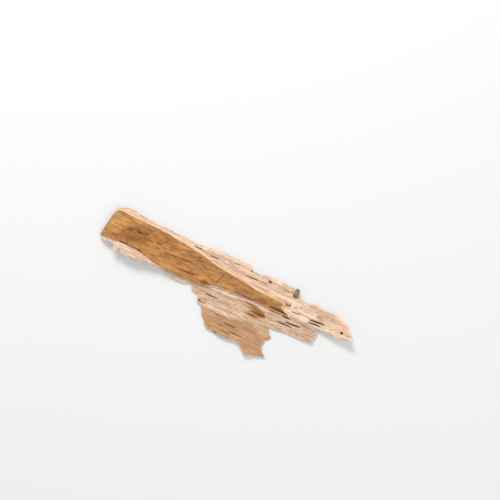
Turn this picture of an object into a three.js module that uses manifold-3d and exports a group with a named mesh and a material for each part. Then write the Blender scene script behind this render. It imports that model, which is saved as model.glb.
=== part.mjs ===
// A dry strip of birch bark, lying with its smooth inner face up.
//
// The bark is one piece that grew in leaves, and the leaves have split at its torn edges: an
// orange inner face, a papery leaf that ends in a ragged tip, a lower leaf, a broad flap that has
// come away on one side, and the white outer skin. Each leaf is a thin sheet here, and the sheets
// bite into each other, so that together they make one solid with stepped, torn rims.
//
// Units are millimetres and +Z is up. The strip is drawn in its own two coordinates: `along` runs
// from the smooth end (0) to the ragged tip, and `across` from the line through the tip towards
// the thick cream rim. The finished part stands on z = 0 with its box centred on the origin.

import * as THREE from 'three';
import Module from 'manifold-3d';

// ---- driving dimensions ----------------------------------------------------------------------

const LENGTH = 273.5; // smooth end to ragged tip
const RIM_ACROSS = 25; // furthest reach on the side of the thick rim
const FLAP_ACROSS = -59; // furthest reach on the side of the torn flap
const THICKNESS = 4.8; // all leaves together

const HUMP_HEIGHT = 7.5; // the smooth end bends down from this hump to the surface
const HUMP_LENGTH = 105;
const TIP_LIFT = 5.5; // the ragged tip curls up off the surface
const TIP_START = 196;
const FLAP_LIFT = 3; // so does the flap's outer corner
const FLAP_START = -30;
const FLAP_CENTRE = 176;
const FLAP_WIDTH = 34;

const ROWS = 6; // steps across each sheet
const LONGEST_STEP = 9; // along a sheet, between outline points

// ---- the leaves, from the inner face down ----------------------------------------------------

// `top` and `bottom` are depths below the inner face. `lower` and `upper` are the two long edges
// as [along, across]; `left` and `right` are the ends as [share of the way up, along].
const LEAVES = [
  {
    name: 'orange inner face',
    top: 0,
    bottom: 1.2,
    lower: [
      [0, -11.5], [10, -10], [33, -8.5], [50, -10.8], [65, -14.3], [90, -14.6], [107, -14.2],
      [120, -10.5], [135, -7.8], [160, -5.5], [206, -4.5],
    ],
    upper: [[0, 19.6], [25, 19.3], [58, 18.8], [80, 16.4], [105, 14.2], [115, 11], [140, 8.4],
      [170, 5], [206, 5.2]],
    left: [[0, 0], [0.4, 1.8], [0.75, 3.6], [0.9, 5.5], [1, 10]],
    right: [[0, 206], [0.45, 197], [1, 196]],
  },
  {
    name: 'papery leaf',
    top: 0.8,
    bottom: 2.4,
    lower: [
      [0, -13], [9, -15], [17.5, -16], [19, -19.3], [24.3, -16.4], [28, -18.7], [44, -19],
      [50, -17], [63, -15.3], [90, -15], [107, -14.7], [120, -11], [135, -8.3], [160, -6],
      [206, -5], [238, -3.4], [262, -2.7], [LENGTH, -0.6],
    ],
    upper: [
      [0, 21], [8, 22], [20, 24.3], [45, 21.5], [90, 20.3], [105, 23], [130, RIM_ACROSS], [151, 24.5],
      [155, 20], [164, 19.5], [168, 22.5], [199, 22.3], [206, 15], [218, 14.5], [224, 17],
      [235, 15.5], [250, 17], [257, 12.8], [263.5, 13.5], [266.5, 6.5], [LENGTH, 0.6],
    ],
    left: [[0, 0.6], [0.5, 3], [0.85, 5.5], [1, 9]],
    right: [[0, LENGTH], [1, LENGTH]],
  },
  {
    name: 'lower leaf',
    top: 2,
    bottom: 3.4,
    lower: [
      [0, -10], [60, -13], [79, -17.5], [99, -18], [103, -16.5], [106, -22.5], [113, -23],
      [116, -28.5], [124, -31.5], [147, -32], [160, -30], [193, -23], [205, -21.5], [238, -19.3],
    ],
    upper: [[0, 20], [20, 24.6], [60, 22.3], [110, 23], [150, 23.2], [156, 19], [165, 19],
      [195, 20], [238, 9]],
    left: [[0, 2], [0.6, 5], [1, 10]],
    right: [[0, 234], [0.08, 237.5], [1, 237.5]],
  },
  {
    name: 'torn flap',
    top: 3,
    bottom: 4.4,
    lower: [
      [110, -49], [136, -50.3], [156, -52], [172, -50.3], [176, -53.5], [182, FLAP_ACROSS],
      [190, -55.7], [201, -52],
    ],
    upper: [[110, 4], [201, 2]],
    left: [[0, 136], [0.08, 129], [0.2, 124], [0.34, 117], [1, 114]],
    right: [[0, 201], [0.15, 195.5], [0.35, 194.5], [0.42, 198.5], [0.56, 193], [1, 190]],
  },
  {
    name: 'white outer skin',
    top: 4,
    bottom: THICKNESS,
    lower: [[0, -9], [55, -12], [110, -14], [200, -11], [262, 0]],
    upper: [[0, 20], [20, 24.8], [60, 23], [110, 24], [150, 24], [156, 19], [166, 19.5],
      [195, 21], [207, 14], [250, 13], [262, 9]],
    left: [[0, 4], [0.6, 6], [1, 11]],
    right: [[0, 252], [0.5, 259], [1, 255]],
  },
];

// ---- shape of the strip ----------------------------------------------------------------------

/** Value at x on a line through [x, y] points, held level past both ends. */
function alongLine(points, x) {
  if (x <= points[0][0]) return points[0][1];
  for (let i = 1; i < points.length; i += 1) {
    const [x0, y0] = points[i - 1];
    const [x1, y1] = points[i];
    if (x <= x1) return THREE.MathUtils.mapLinear(x, x0, x1, y0, y1);
  }
  return points.at(-1)[1];
}

/** How far the underside is clear of the surface; it lies dead flat on it in the middle. */
function clearance(along, across) {
  const hump = THREE.MathUtils.clamp(along / HUMP_LENGTH, 0, 1);
  const highest = 27 / 4; // makes h (1 - h)^2 peak at one
  const tip = Math.max(0, (along - TIP_START) / (LENGTH - TIP_START));
  const flap = Math.max(0, (across - FLAP_START) / (FLAP_ACROSS - FLAP_START));
  const nearCorner = Math.exp(-(((along - FLAP_CENTRE) / FLAP_WIDTH) ** 2));
  return (
    HUMP_HEIGHT * highest * hump * (1 - hump) ** 2
    + TIP_LIFT * tip ** 2
    + FLAP_LIFT * flap ** 2 * nearCorner
  );
}

/** Steps along a sheet: its outline points, and more where they lie far apart. */
function stepsAlong(leaf) {
  const corners = [...leaf.lower, ...leaf.upper].map(([along]) => along);
  const first = Math.max(leaf.lower[0][0], leaf.left[0][1]);
  const last = Math.min(leaf.lower.at(-1)[0], leaf.right[0][1]);
  const steps = [...new Set([first, ...corners, last])]
    .filter((along) => along >= first && along <= last)
    .sort((a, b) => a - b);
  const filled = [steps[0]];
  for (const along of steps.slice(1)) {
    const from = filled.at(-1);
    const parts = Math.ceil((along - from) / LONGEST_STEP);
    for (let i = 1; i <= parts; i += 1) filled.push(from + ((along - from) * i) / parts);
  }
  return filled.map((along) => (along - first) / (last - first));
}

/** Place on a leaf, at a share of the way along it and a share of the way up it. */
function placeOnLeaf(leaf, share, up) {
  const along = THREE.MathUtils.lerp(alongLine(leaf.left, up), alongLine(leaf.right, up), share);
  const across = THREE.MathUtils.lerp(
    alongLine(leaf.lower, along),
    alongLine(leaf.upper, along),
    up,
  );
  return [along, across];
}

/** One leaf as a closed sheet: two grids, and a wall round them. */
function leafGeometry(leaf) {
  const shares = stepsAlong(leaf);
  const columns = shares.length;
  const positions = [];
  for (const depth of [leaf.top, leaf.bottom]) {
    for (let row = 0; row <= ROWS; row += 1) {
      for (const share of shares) {
        const [along, across] = placeOnLeaf(leaf, share, row / ROWS);
        positions.push(along, across, clearance(along, across) + THICKNESS - depth);
      }
    }
  }

  const at = (side, row, column) => (side * (ROWS + 1) + row) * columns + column;
  const index = [];
  const quad = (a, b, c, d) => index.push(a, b, c, a, c, d);
  for (let row = 0; row < ROWS; row += 1) {
    for (let i = 0; i < columns - 1; i += 1) {
      quad(at(0, row, i), at(0, row, i + 1), at(0, row + 1, i + 1), at(0, row + 1, i));
      quad(at(1, row, i), at(1, row + 1, i), at(1, row + 1, i + 1), at(1, row, i + 1));
    }
    const end = columns - 1;
    quad(at(0, row, 0), at(0, row + 1, 0), at(1, row + 1, 0), at(1, row, 0));
    quad(at(0, row, end), at(1, row, end), at(1, row + 1, end), at(0, row + 1, end));
  }
  for (let i = 0; i < columns - 1; i += 1) {
    quad(at(0, 0, i), at(1, 0, i), at(1, 0, i + 1), at(0, 0, i + 1));
    quad(at(0, ROWS, i), at(0, ROWS, i + 1), at(1, ROWS, i + 1), at(1, ROWS, i));
  }

  const geometry = new THREE.BufferGeometry();
  geometry.setAttribute('position', new THREE.Float32BufferAttribute(positions, 3));
  geometry.setIndex(index);
  return geometry;
}

// ---- joining the leaves ----------------------------------------------------------------------

const wasm = await Module();
wasm.setup();

/** A three.js geometry as a solid that can be joined. */
function toSolid(geometry) {
  return new wasm.Manifold(
    new wasm.Mesh({
      numProp: 3,
      vertProperties: new Float32Array(geometry.attributes.position.array),
      triVerts: new Uint32Array(geometry.index.array),
    }),
  );
}

/** A joined solid as a three.js geometry. */
function toGeometry(solid) {
  const mesh = solid.getMesh();
  const geometry = new THREE.BufferGeometry();
  geometry.setAttribute('position', new THREE.Float32BufferAttribute(mesh.vertProperties, 3));
  geometry.setIndex(Array.from(mesh.triVerts));
  geometry.computeVertexNormals();
  return geometry;
}

const joined = LEAVES.map((leaf) => toSolid(leafGeometry(leaf))).reduce((a, b) => a.add(b));
const geometry = toGeometry(joined);
geometry.computeBoundingBox();
const centre = geometry.boundingBox.getCenter(new THREE.Vector3());
geometry.translate(-centre.x, -centre.y, 0);

const bark = new THREE.Mesh(
  geometry,
  new THREE.MeshStandardMaterial({ color: 0xc08a5a, roughness: 0.8, metalness: 0 }),
);
bark.name = 'bark_strip';

const part = new THREE.Group();
part.add(bark);

export default part;
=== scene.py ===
"""A dry strip of birch bark, lying inner face up, built leaf by leaf around its CAD solid.

The bark has split into leaves at its torn edges. From the inner face down they are an orange
inner face, a papery leaf that ends in a ragged tip, a lower leaf, a streaked leaf, a broad torn
flap, and the white outer skin. Each is a closed sheet with a laminated rim. A weathered flake
lies on one edge, and loose fibres stand out of the tears.

The strip has its own two coordinates, in strip millimetres: `along` from the smooth end to the
ragged tip, and `across` from the line through the tip towards the thick rim. `Strip` turns them
into metres of the frame.
"""

import logging
import math
from dataclasses import dataclass, field
from enum import Enum

import bpy
import numpy as np
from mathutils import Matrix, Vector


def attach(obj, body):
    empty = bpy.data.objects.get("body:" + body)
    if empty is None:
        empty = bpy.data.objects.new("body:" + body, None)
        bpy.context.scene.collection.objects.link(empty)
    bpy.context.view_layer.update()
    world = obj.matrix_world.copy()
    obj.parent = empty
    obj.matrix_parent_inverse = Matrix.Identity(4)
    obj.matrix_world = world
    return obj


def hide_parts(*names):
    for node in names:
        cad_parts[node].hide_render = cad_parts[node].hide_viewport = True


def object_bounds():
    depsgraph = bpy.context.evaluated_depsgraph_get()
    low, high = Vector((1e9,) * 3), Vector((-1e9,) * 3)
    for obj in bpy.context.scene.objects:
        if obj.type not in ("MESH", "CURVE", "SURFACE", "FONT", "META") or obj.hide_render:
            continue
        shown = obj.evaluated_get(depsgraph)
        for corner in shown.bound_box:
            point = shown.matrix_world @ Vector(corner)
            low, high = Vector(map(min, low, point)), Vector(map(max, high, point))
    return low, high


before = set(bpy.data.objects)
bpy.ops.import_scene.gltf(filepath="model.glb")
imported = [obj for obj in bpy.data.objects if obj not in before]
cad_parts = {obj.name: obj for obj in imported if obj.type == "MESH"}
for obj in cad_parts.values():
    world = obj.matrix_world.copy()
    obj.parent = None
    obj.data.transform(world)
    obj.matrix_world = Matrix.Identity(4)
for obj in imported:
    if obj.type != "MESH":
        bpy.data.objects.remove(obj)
cad_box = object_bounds()

NODE = "bark_strip"
BODY = "root"

Array = np.ndarray
Colour = tuple[float, float, float]
Points = tuple[tuple[float, float], ...]

log = logging.getLogger("bark")


# ---- numbers shared by the shapes ---------------------------------------------------------------


class Noise:
    """Smooth seeded noise from -1 to 1, on a lattice of random values."""

    SIDE = 256
    FADE = 0.6
    SHIFT = 17.3

    def __init__(self, seed: int) -> None:
        """Fills the lattice.

        Args:
            seed: Which noise this is; the same seed always gives the same noise.
        """
        self.values = np.random.default_rng(seed).uniform(-1, 1, (self.SIDE, self.SIDE))

    def at(self, x: Array, y: Array | float = 0.0, pointed: bool = False) -> Array:
        """Noise at places: the four lattice values round each, blended by 3t^2 - 2t^3.

        Args:
            x: Place on the lattice's first axis, in lattice steps.
            y: Place on its second axis.
            pointed: Blends by t alone instead, so that the noise has corners, as a tear has.

        Returns:
            The noise, with the shape of x and y together.
        """
        x, y = np.broadcast_arrays(np.asarray(x, float), np.asarray(y, float))
        column, row = np.floor(x).astype(int), np.floor(y).astype(int)
        tx, ty = x - column, y - row
        if not pointed:
            tx, ty = tx * tx * (3 - 2 * tx), ty * ty * (3 - 2 * ty)
        c0, c1 = column % self.SIDE, (column + 1) % self.SIDE
        r0, r1 = row % self.SIDE, (row + 1) % self.SIDE
        near = self.values[c0, r0] * (1 - tx) + self.values[c1, r0] * tx
        far = self.values[c0, r1] * (1 - tx) + self.values[c1, r1] * tx
        return near * (1 - ty) + far * ty

    def layered(self, x: Array, y: Array | float = 0.0, layers: int = 3) -> Array:
        """Noise in layers, each twice as fine as the last and FADE as strong.

        Args:
            x: Place on the first axis, in steps of the coarsest layer.
            y: Place on the second axis.
            layers: How many layers.

        Returns:
            The summed noise.
        """
        x, y = np.asarray(x), np.asarray(y)
        return sum(self.FADE**k * self.at(2**k * x, 2**k * y + self.SHIFT * k)
                   for k in range(layers))


def smooth_through(points: Points, x: Array) -> Array:
    """Value at x of a smooth curve through points that never overshoots them.

    Between two points it is the cubic with a set slope at each. The slope at a point is the
    harmonic mean of the straight slopes beside it, or nought where they differ in sign.

    Args:
        points: The points, in order of their first number.
        x: Where to read the curve; it is held level past both ends.

    Returns:
        The curve's values, with the shape of x.
    """
    px, py = np.array(points, float).T
    step = np.diff(px)
    slope = np.diff(py) / step
    product = slope[:-1] * slope[1:]
    total = np.where(product > 0, slope[:-1] + slope[1:], 1)
    inner = np.where(product > 0, 2 * product / total, 0)
    tangent = np.concatenate([slope[:1], inner, slope[-1:]])
    i = np.clip(np.searchsorted(px, x) - 1, 0, len(step) - 1)
    t = np.clip((x - px[i]) / step[i], 0, 1)
    return (
        (2 * t**3 - 3 * t**2 + 1) * py[i]
        + (t**3 - 2 * t**2 + t) * step[i] * tangent[i]
        + (3 * t**2 - 2 * t**3) * py[i + 1]
        + (t**3 - t**2) * step[i] * tangent[i + 1]
    )


def fall(distance: Array, width: float) -> Array:
    """One at distance nought, easing to nought at the given width."""
    return (1 - np.clip(distance / width, 0, 1)) ** 2


class Mark(Enum):
    """What a stroke leaves on a leaf. Each value is the name of a vertex attribute."""

    # Some slit and bruise strokes are dark lines and blots of painted shadow, and some pale strokes are
    # painted light and painted highlight.
    SLIT_AND_SHADOW = "slit"
    GOLD = "gold_stain"
    BRUISE_AND_SHADOW = "bruise_and_shadow"
    PALE = "pale_patch_and_painted_light"
    GREY = "grey_patch"
    OCHRE = "ochre_patch"
    RUST = "rust_patch"


TILTS = (-0.02, 0.07)  # slopes of the scattered slits
SLIT_WIDTHS = (0.7, 1.1)
CLEARANCE = 3.0  # least distance between two slits' boxes when one is scattered


@dataclass(frozen=True)
class Stroke:
    """One mark on a leaf, drawn from a start to an end, in strip millimetres.

    Attributes:
        kind: What it leaves on the leaf.
        start: Where it starts, along and across.
        end: Where it ends.
        width: How wide it is.
        strength: How strongly it shows; on a slit, also how much of the width is open.
    """

    kind: Mark
    start: tuple[float, float]
    end: tuple[float, float]
    width: float = 0.95
    strength: float = 1.0

    def bearings(self, along: Array, across: Array) -> tuple[Array, Array, Array]:
        """Where places are, seen from the stroke's line.

        Args:
            along: Places along the strip.
            across: Places across it.

        Returns:
            The share of the line nearest to each place, the distance from the line, and the
            distance to the left of it, which is negative on its right.
        """
        start, end = np.array(self.start), np.array(self.end)
        run = end - start
        length = max(float(np.hypot(*run)), 1e-6)
        ahead, aside = along - start[0], across - start[1]
        share = np.clip((ahead * run[0] + aside * run[1]) / length**2, 0, 1)
        apart = np.hypot(ahead - share * run[0], aside - share * run[1])
        return share, apart, (aside * run[0] - ahead * run[1]) / length

    def shade(self, along: Array, across: Array) -> Array:
        """How strongly the mark shows: a cone round a slit's line, a soft lens round any other.

        Args:
            along: Places along the strip.
            across: Places across it.

        Returns:
            The strength at each place.
        """
        share, apart, _ = self.bearings(along, across)
        if self.kind is Mark.SLIT_AND_SHADOW:
            return self.strength * np.clip(1 - apart / (1.6 * self.width), 0, 1)
        lens = self.width * (0.45 + 0.55 * np.sqrt(1 - (2 * share - 1) ** 2))
        return self.strength * np.exp(-((apart / lens) ** 2))

    def crowds(self, other: "Stroke") -> bool:
        """Whether the two marks' upright boxes come nearer to each other than CLEARANCE."""
        return all(
            min(a.start[i], a.end[i]) - CLEARANCE < max(b.start[i], b.end[i])
            for i in (0, 1) for a, b in ((self, other), (other, self))
        )

    def spindle(self, along: Array, across: Array) -> Array:
        """Half the width of a slit beside each place: widest half-way along its line.

        Args:
            along: Places along the strip.
            across: Places across it.

        Returns:
            The half width in strip millimetres; it drops under nought away from the slit.
        """
        share, apart, aside = self.bearings(along, across)
        beyond = np.sqrt(np.clip(apart**2 - aside**2, 0, None))
        taper = 1 - 0.55 * np.abs(2 * share - 1) ** 2.2
        away = 2 * np.clip(apart - 0.6 * self.width, 0, None)
        return 0.5 * self.width * self.strength * taper - 1.2 * beyond - away


def scattered(seed: int, count: int, reach: tuple[float, float, float, float],
              lengths: tuple[float, float], strengths: tuple[float, float],
              marks: tuple[Stroke, ...] = ()) -> tuple[Stroke, ...]:
    """Marks, and slits scattered at random between them, nearly along the bark.

    Args:
        seed: Which scatter this is.
        count: How many slits are tried. One that crowds another slit is left out.
        reach: Lowest and highest place along, then lowest and highest place across.
        lengths: Shortest and longest.
        strengths: Faintest and strongest.
        marks: The marks that are already there.

    Returns:
        All the marks.
    """
    random = np.random.default_rng(seed)
    kept = list(marks)
    for _ in range(count):
        along, across = random.uniform(*reach[:2]), random.uniform(*reach[2:])
        length, tilt = random.uniform(*lengths), random.uniform(*TILTS)
        strength, width = random.uniform(*strengths), random.uniform(*SLIT_WIDTHS)
        end = (along + length, across + tilt * length)
        tried = Stroke(Mark.SLIT_AND_SHADOW, (along, across), end, width, strength)
        if not any(tried.crowds(other) for other in kept if other.kind is Mark.SLIT_AND_SHADOW):
            kept.append(tried)
    return tuple(kept)


def drawn(rows: dict[Mark, tuple[tuple[float, ...], ...]]) -> tuple[Stroke, ...]:
    """Strokes from rows of numbers.

    Args:
        rows: For each kind, its rows: the start along and across, the end along and across, then
            the width and the strength, where they aren't a Stroke's usual ones.

    Returns:
        The strokes, in the order of the rows.
    """
    return tuple(Stroke(kind, row[:2], row[2:4], *row[4:]) for kind in rows for row in rows[kind])


# ---- the strip as a whole -----------------------------------------------------------------------


@dataclass(frozen=True)
class Strip:
    """The shape that all the leaves share, and the way from strip millimetres to metres."""

    length: float = 273.5
    flap_reach: float = 59.0
    thickness: float = 4.8
    hump_length: float = 105.0
    tip_lift: float = 5.5
    tip_start: float = 196.0
    flap_lift: float = 3.0
    flap_start: float = 30.0
    flap_centre: float = 176.0
    flap_width: float = 34.0
    warp: Noise = field(default_factory=lambda: Noise(3))

    @property
    def unit(self) -> float:
        """Metres in a strip millimetre, from the CAD box."""
        return (cad_box[1].x - cad_box[0].x) / self.length

    @property
    def hump_height(self) -> float:
        """Height of the hump: what the CAD box is taller than the bark is thick."""
        return (cad_box[1].z - cad_box[0].z) / self.unit - self.thickness

    def rise(self, along: Array, across: Array) -> Array:
        """Height of the underside over the surface.

        A hump h(1 - h)^2 at the smooth end, a square rise at the tip and at the flap's outer
        corner, and a slow waver that fades out where the strip lies on the surface.

        Args:
            along: Places along the strip.
            across: Places across it.

        Returns:
            The height at each place, never under nought.
        """
        hump = np.clip(along / self.hump_length, 0, 1)
        tip = np.clip((along - self.tip_start) / (self.length - self.tip_start), 0, None)
        flap = np.clip((-across - self.flap_start) / (self.flap_reach - self.flap_start), 0, None)
        corner = np.exp(-(((along - self.flap_centre) / self.flap_width) ** 2))
        waver = 0.5 * self.warp.layered(along / 34, across / 22, 2)
        lifted = (
            self.hump_height * 27 / 4 * hump * (1 - hump) ** 2
            + self.tip_lift * tip**2
            + self.flap_lift * flap**2 * corner
        )
        return np.clip(lifted + waver * np.clip(lifted / 2, 0.15, 1), 0, None)

    def to_metres(self, along: Array, across: Array, height: Array) -> Array:
        """Points of the frame, one row each.

        Args:
            along: Places along the strip.
            across: Places across it.
            height: Heights over the surface.

        Returns:
            The points, in metres.
        """
        x = cad_box[0].x + along * self.unit
        y = cad_box[0].y + (across + self.flap_reach) * self.unit
        return np.stack([x, y, cad_box[0].z + height * self.unit], -1).reshape(-1, 3)


# ---- leaves -------------------------------------------------------------------------------------

FILMS = 5  # steps between whole and most torn
SHARP_FOLD = 50  # degrees; a fold past this keeps a sharp edge
FRINGE = ((4.7, 1.0, 3.1), (1.9, 0.7, 9.7), (0.9, 0.5, 21.3))
UPPER_SHIFT = 500  # keeps the upper edge's fringe unlike the lower edge's
THINNING = 0.7  # share of the thickness that a feathered edge loses
EDGE_BAND = 2.5  # how far the edge tone reaches in
FAR = 9.0  # how near a slit has to be to be kept at all
SLIT_REACH = 3.0  # furthest distance from a slit's line that is told apart
SHUT = -1.0  # half width where there is no slit


@dataclass(frozen=True)
class Edge:
    """One edge of a leaf: a curve through points, with a fringe and a laminated rim.

    Attributes:
        points: The curve. A long edge gives its place across at places along; an end gives its
            place along at shares of the way from the lower edge to the upper.
        tear: How far the fringe strays, in strip millimetres.
        reach: How far the rim's foot stands out beyond its top.
        ledge: How far single laminae stray from the rim's slope.
        curl: How far the edge lifts.
        curl_width: How far in from the edge the lift starts.
        feather: How far in from the edge the leaf starts to thin.
        torn: Whether the curve and its fringe have corners.
        nick: How deep the deepest of the fringe's narrow nicks are.
    """

    points: Points
    tear: float = 0.15
    reach: float = 0.3
    ledge: float = 0.15
    curl: float = 0.0
    curl_width: float = 6.0
    feather: float = 1.0
    torn: bool = False
    nick: float = 0.0

    def bare(self, position: Array) -> Array:
        """The curve without its fringe: straight between its points if torn, or else smooth."""
        if self.torn:
            return np.interp(position, *np.array(self.points, float).T)
        return smooth_through(self.points, position)

    def out(self, position: Array, lamina: float, noise: Noise, run: float = 1.0) -> Array:
        """How far outside the bare curve a lamina ends.

        FRINGE gives the size, the share and the lattice row of each layer of the fringe.

        Args:
            position: Places on the edge.
            lamina: The lamina's share of the way down the rim.
            noise: The leaf's noise.
            run: Strip millimetres in a unit of position.

        Returns:
            The distance, outwards.
        """
        place = position * run
        fringe = sum(share * noise.at(place / size, row, self.torn) for size, share, row in FRINGE)
        cut = np.clip(noise.at(place / 2.1, 57.3, self.torn) - 0.5, 0, None) / 0.5
        stray = noise.layered(place / 6.5, 31.7 + 40 * lamina, 4)
        return (
            self.tear * fringe
            - self.nick * cut
            + self.reach * lamina
            + self.ledge * stray * (lamina > 0)
        )


@dataclass
class Leaf:
    """One leaf of the bark: a thin closed sheet between two long edges and two ends.

    A place on it is a share of the way along between the ends, and a share of the way up between
    the long edges. The face and the underside are grids of such places, and the rim is rows of
    the places round them, two rows for each lamina. Lengths are in strip millimetres.

    Attributes:
        strip: The strip that it is part of.
        name: The name of its piece.
        top: Depth of its face under the inner face of the bark.
        foot: Depth of its underside.
        lower: The long edge on the flap's side.
        upper: The long edge on the thick rim's side.
        left: The end at the smooth end of the strip.
        right: The end at its tip.
        laminae: How many laminae its rim shows.
        strokes: The marks on it.
        marked_below: Whether they are on its underside, and not on its face.
        groove: Depth of a slit.
        lip: Height of a slit's raised lip.
        relief: Height of the grain, from furrow to ridge.
        grain: Length and width of the grain's waves.
        film: Thickness of one torn film.
        film_size: Length and width of a torn patch of film.
        step: Distance between the grid's columns.
        row_step: Distance between its rows, where the leaf is widest.
        seed: Which noise it takes.
    """

    strip: Strip
    name: str = "leaf"
    top: float = 0.0
    foot: float = 1.0
    lower: Edge = Edge(((0, 0), (1, 0)))
    upper: Edge = Edge(((0, 1), (1, 1)))
    left: Edge = Edge(((0, 0), (1, 0)))
    right: Edge = Edge(((0, 1), (1, 1)))
    laminae: int = 3
    strokes: tuple[Stroke, ...] = ()
    marked_below: bool = False
    groove: float = 0.45
    lip: float = 0.08
    relief: float = 0.3
    grain: tuple[float, float] = (12.0, 1.5)
    film: float = 0.07
    film_size: tuple[float, float] = (26.0, 3.6)
    step: float = 0.5
    row_step: float = 0.58
    seed: int = 1

    @property
    def noise(self) -> Noise:
        """The leaf's own noise."""
        return Noise(self.seed)

    def place(self, share: Array, up: Array, lamina: float) -> tuple[Array, Array]:
        """Where a place on the leaf is, for one lamina.

        Args:
            share: Share of the way between the ends.
            up: Share of the way between the long edges.
            lamina: The lamina's share of the way down the rim.

        Returns:
            Places along and across the strip.
        """
        noise = self.noise
        breadth = abs(self.upper.points[0][1] - self.lower.points[0][1])
        left = self.left.bare(up) - self.left.out(up, lamina, noise, breadth)
        right = self.right.bare(up) + self.right.out(up, lamina, noise, breadth)
        along = left + (right - left) * share
        low = self.lower.bare(along) - self.lower.out(along, lamina, noise)
        high = self.upper.bare(along) + self.upper.out(along + UPPER_SHIFT, lamina, noise)
        return along, low + (high - low) * up

    def inside(self, along: Array, across: Array, share: Array, up: Array) -> dict[str, Array]:
        """How far in from each edge a place is.

        Args:
            along: Places along the strip.
            across: Places across it.
            share: Their shares of the way between the ends.
            up: Their shares of the way between the long edges.

        Returns:
            The distances, by the edge's name, never under nought.
        """
        left = self.left.bare(up)
        right = self.right.bare(up)
        found = {
            "lower": across - self.lower.bare(along),
            "upper": self.upper.bare(along) - across,
            "left": (right - left) * share,
            "right": (right - left) * (1 - share),
        }
        return {name: np.clip(distance, 0, None) for name, distance in found.items()}

    def painted(self, along: Array, across: Array) -> dict[Mark, Array]:
        """The strength of each kind of mark: the strongest stroke of that kind at each place."""
        shades = {kind: np.zeros(along.shape) for kind in Mark}
        for stroke in self.strokes:
            shades[stroke.kind] = np.maximum(shades[stroke.kind], stroke.shade(along, across))
        return shades

    def slits(self, along: Array, across: Array) -> tuple[Array, Array]:
        """The nearest slit: how far to the left of its line each place is, and its half width."""
        nearest = np.full(along.shape, FAR)
        offset, half = np.full(along.shape, SLIT_REACH), np.full(along.shape, SHUT)
        for stroke in self.strokes:
            if stroke.kind is Mark.SLIT_AND_SHADOW:
                _, apart, aside = stroke.bearings(along, across)
                closer = apart < nearest
                nearest = np.where(closer, apart, nearest)
                offset = np.where(closer, np.clip(aside, -SLIT_REACH, SLIT_REACH), offset)
                half = np.where(closer, np.clip(stroke.spindle(along, across), SHUT, None), half)
        return offset, half

    def height(self, along: Array, across: Array, inside: dict[str, Array], down: float) -> Array:
        """Height of a layer of the leaf.

        The strip's rise, plus the lift of the curled edges, plus what is left of the thickness
        over this layer, which shrinks towards a feathered edge.

        Args:
            along: Places along the strip.
            across: Places across it.
            inside: How far in from each edge they are.
            down: Share of the way from the face to the underside.

        Returns:
            The heights, in strip millimetres.
        """
        noise = self.noise
        thin, lift = np.ones(along.shape), np.zeros(along.shape)
        flutter = 0.7 + 0.5 * noise.at(along / 15, across / 11 + 5)
        for name, distance in inside.items():
            edge = getattr(self, name)
            thin *= 1 - THINNING * fall(distance, edge.feather)
            lift += edge.curl * flutter * fall(distance, edge.curl_width)
        depth = self.foot - (self.foot - self.top) * (1 - down) * thin
        base = self.strip.rise(along, across) + self.strip.thickness
        return base - depth + lift

    def films(self, along: Array, across: Array) -> Array:
        """Which of the thin films is on top, as a number from nought to one that has no steps.

        Noise in long lenses; each time it passes a share of FILMS, one more film is torn away.

        Args:
            along: Places along the strip.
            across: Places across it.

        Returns:
            The number at each place.
        """
        long, wide = self.film_size
        lenses = self.noise.layered(along / long + 7, across / wide, 4)
        return np.clip(0.5 + 0.42 * lenses, 0, 0.999)

    def furrows(self, along: Array, across: Array) -> Array:
        """The grain: layered noise in long thin waves, nought on a ridge and one in a furrow."""
        long, wide = self.grain
        bent = across + self.noise.at(along / 34, across / 19 + 9)
        return np.clip(0.5 + 0.42 * self.noise.layered(along / long, bent / wide + 40, 3), 0, 1)

    def carve(self, along: Array, across: Array, slits: Array) -> Array:
        """How far the marked side goes in.

        A slit has a flat bottom and a raised lip where its cone is low. Each film that is torn
        away is a step. The grain's ridges stand as far out as its furrows go in.

        Args:
            along: Places along the strip.
            across: Places across it.
            slits: The strength of the slits there.

        Returns:
            The depth at each place, in strip millimetres.
        """
        lip = np.exp(-(((slits - 0.22) / 0.12) ** 2)) * (slits > 0.02)
        torn = np.floor(self.films(along, across) * FILMS)
        return (
            self.groove * np.clip((slits - 0.3) * 4, 0, 1)
            - self.lip * lip
            + self.relief * (self.furrows(along, across) - 0.5)
            + self.film * torn
        )

    def build(self) -> bpy.types.Object:
        """Makes the leaf's mesh and paints its marks on it as vertex attributes.

        Returns:
            The new object, at the origin.
        """
        start, end = self.place(np.array([0.0, 1.0]), np.array([0.5, 0.5]), 0.0)[0]
        columns = math.ceil(float(end - start) / self.step) + 1
        reach = np.linspace(start, end, 60)
        widest = float((self.upper.bare(reach) - self.lower.bare(reach)).max())
        rows = math.ceil(widest / self.row_step) + 1

        share, up = np.meshgrid(np.linspace(0, 1, columns), np.linspace(0, 1, rows))
        index = np.arange(rows * columns).reshape(rows, columns)
        loop = np.concatenate(
            [index[0, :-1], index[:-1, -1], index[-1, :0:-1], index[:0:-1, 0]]
        )
        share, up = share.ravel(), up.ravel()

        layers = [(lamina, side) for lamina in range(self.laminae) for side in (0, 1)]
        pieces, rims, sides = [], [], []
        for number, (lamina, side) in enumerate(layers):
            whole = number in (0, len(layers) - 1)
            at = slice(None) if whole else loop
            depth = lamina / max(self.laminae - 1, 1)
            along, across = self.place(share[at], up[at], depth)
            inside = self.inside(along, across, share[at], up[at])
            down = (lamina + side) / self.laminae
            height = self.height(along, across, inside, down)
            pieces.append((along, across, height, inside))
            rims.append(np.full(along.shape, down))
            sides.append(np.full(along.shape, float(number == len(layers) - 1)))

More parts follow.
